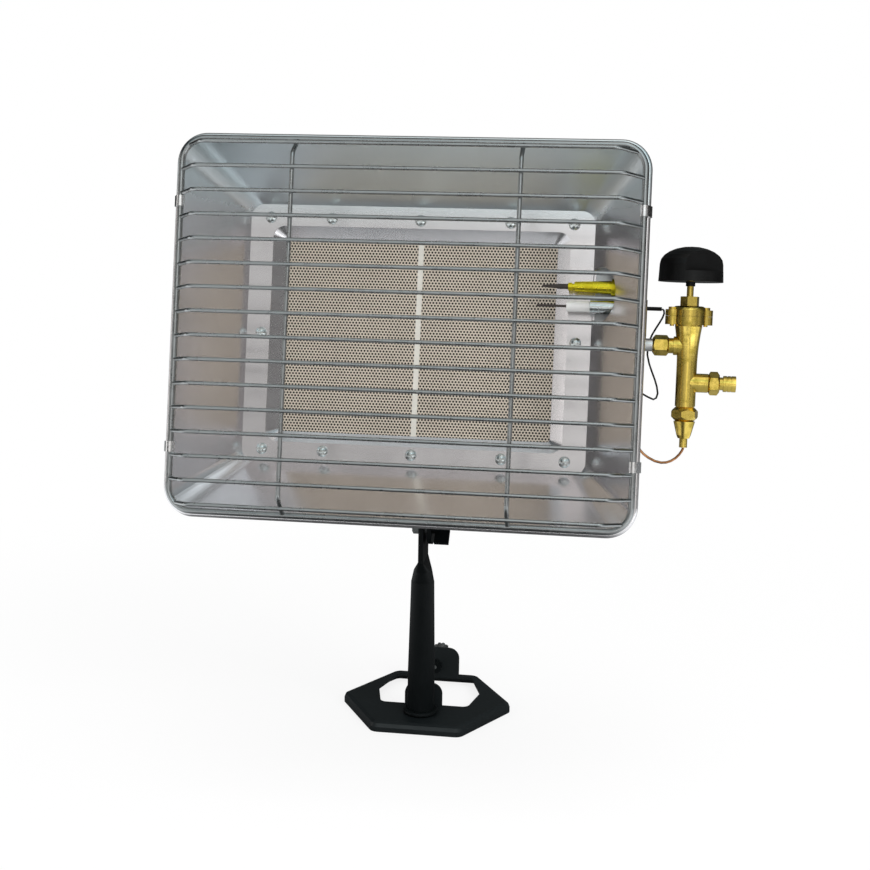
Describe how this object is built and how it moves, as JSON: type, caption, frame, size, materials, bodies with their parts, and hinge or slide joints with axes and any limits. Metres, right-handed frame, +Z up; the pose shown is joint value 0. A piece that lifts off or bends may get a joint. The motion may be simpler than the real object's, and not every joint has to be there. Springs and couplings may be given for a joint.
{
  "type": "portable propane heater",
  "caption": "Tilting infrared gas heater head with a wire guard, safety valve and piezo igniter on a post with a clamp-on hexagonal foot.",
  "frame": {"origin": "the post's axis at the floor, in the foot's resting plane", "axes": "+Z up along the post, -Y the way the heater faces, +X to the right as it is seen from the front"},
  "size_m": [0.356, 0.2281, 0.4065],
  "materials": {
    "black_paint": "satin",
    "zinc_plate": "satin",
    "galvanised_sheet": "satin",
    "stainless_mirror": "polished",
    "guard_wire": "polished",
    "plaque_ceramic": "matte",
    "fibre_packing": "matte",
    "white_ceramic": "gloss",
    "brass": "machined",
    "bright_brass": "polished",
    "copper": "satin",
    "aluminium_pipe": "satin",
    "dark_alloy": "heat-stained",
    "black_plastic": "satin",
    "red_plastic": "gloss",
    "black_rubber": "matte"
  },
  "bodies": {
    "stand": {"base_plate": "black_paint", "post_collar": "black_paint", "post_tube": "black_paint", "post_foot_plug": "black_rubber", "clamp_nut": "black_paint", "tilt_bolt": "zinc_plate", "tilt_washer": "zinc_plate"},
    "clamp_pad": {"clamp_pad": "black_paint"},
    "clamp_screw": {"clamp_screw": "zinc_plate"},
    "wing_nut": {"wing_nut": "black_paint"},
    "knob": {"control_knob": "black_plastic", "valve_stem": "brass"},
    "plunger": {"valve_plunger": "brass"},
    "piezo_button": {"piezo_button": "red_plastic"},
    "head": {"tilt_bracket": "black_paint", "bracket_bolts": "zinc_plate", "reflector": "stainless_mirror", "reflector_screws": "zinc_plate", "guard_frame": "guard_wire", "guard_cross_wires": "guard_wire", "guard_upright_wires": "guard_wire", "guard_clips": "stainless_mirror", "burner_frame": "stainless_mirror", "plaque_left": "plaque_ceramic", "plaque_right": "plaque_ceramic", "plaque_joint": "fibre_packing", "plaque_packing": "fibre_packing", "burner_box": "galvanised_sheet", "burner_baffle": "galvanised_sheet", "mixing_tube": "galvanised_sheet", "injector_holder": "brass", "injector": "brass", "supply_pipe": "aluminium_pipe", "injector_nut": "brass", "outlet_nut": "brass", "valve_body": "brass", "valve_bonnet": "brass", "bonnet_screws": "brass", "packing_nut": "brass", "magnet_unit": "zinc_plate", "magnet_cap": "brass", "lead_nut": "brass", "hose_tail": "brass", "probe_bracket": "galvanised_sheet", "thermocouple": "dark_alloy", "thermocouple_holder": "bright_brass", "thermocouple_nut": "brass", "thermocouple_lead": "copper", "electrode_rod": "dark_alloy", "electrode_ceramic": "white_ceramic", "electrode_holder": "zinc_plate", "igniter_sleeve": "black_rubber", "igniter_lead": "black_rubber", "lead_bracket": "dark_alloy", "igniter_bracket": "galvanised_sheet", "piezo_body": "black_plastic", "piezo_nut": "black_plastic"}
  },
  "joints": [
    {"name": "head_tilt", "type": "hinge", "parent": "stand", "child": "head", "pos_m": [0, 0, 0.145], "axis": [1, 0, 0], "range_deg": [-45, 35]},
    {"name": "wing_nut_turn", "type": "hinge", "parent": "stand", "child": "wing_nut", "pos_m": [0, 0, 0.145], "axis": [1, 0, 0], "continuous": true},
    {"name": "clamp_travel", "type": "slide", "parent": "stand", "child": "clamp_pad", "axis": [0, -1, 0], "range_m": [0, 0.014]},
    {"name": "clamp_turn", "type": "hinge", "parent": "clamp_pad", "child": "clamp_screw", "pos_m": [0, 0.08, 0.0145], "axis": [0, -1, 0], "range_deg": [0, 5040]},
    {"name": "valve_push", "type": "slide", "parent": "head", "child": "plunger", "axis": [0, -0.1167, -0.9932], "range_m": [0, 0.003], "stiffness_N_per_m": 2000, "springref_m": -0.002},
    {"name": "knob_turn", "type": "hinge", "parent": "plunger", "child": "knob", "pos_m": [0.1716, -0.0442, 0.32156], "axis": [0, 0.1167, 0.9932], "range_deg": [0, 90]},
    {"name": "piezo_press", "type": "slide", "parent": "head", "child": "piezo_button", "axis": [0, -0.9816, 0.1908], "range_m": [0, 0.006], "stiffness_N_per_m": 1500, "springref_m": -0.004}
  ],
  "couplings": [
    {"joint": "clamp_turn", "follows": "clamp_travel", "rad_per_m": 6283.2}
  ]
}
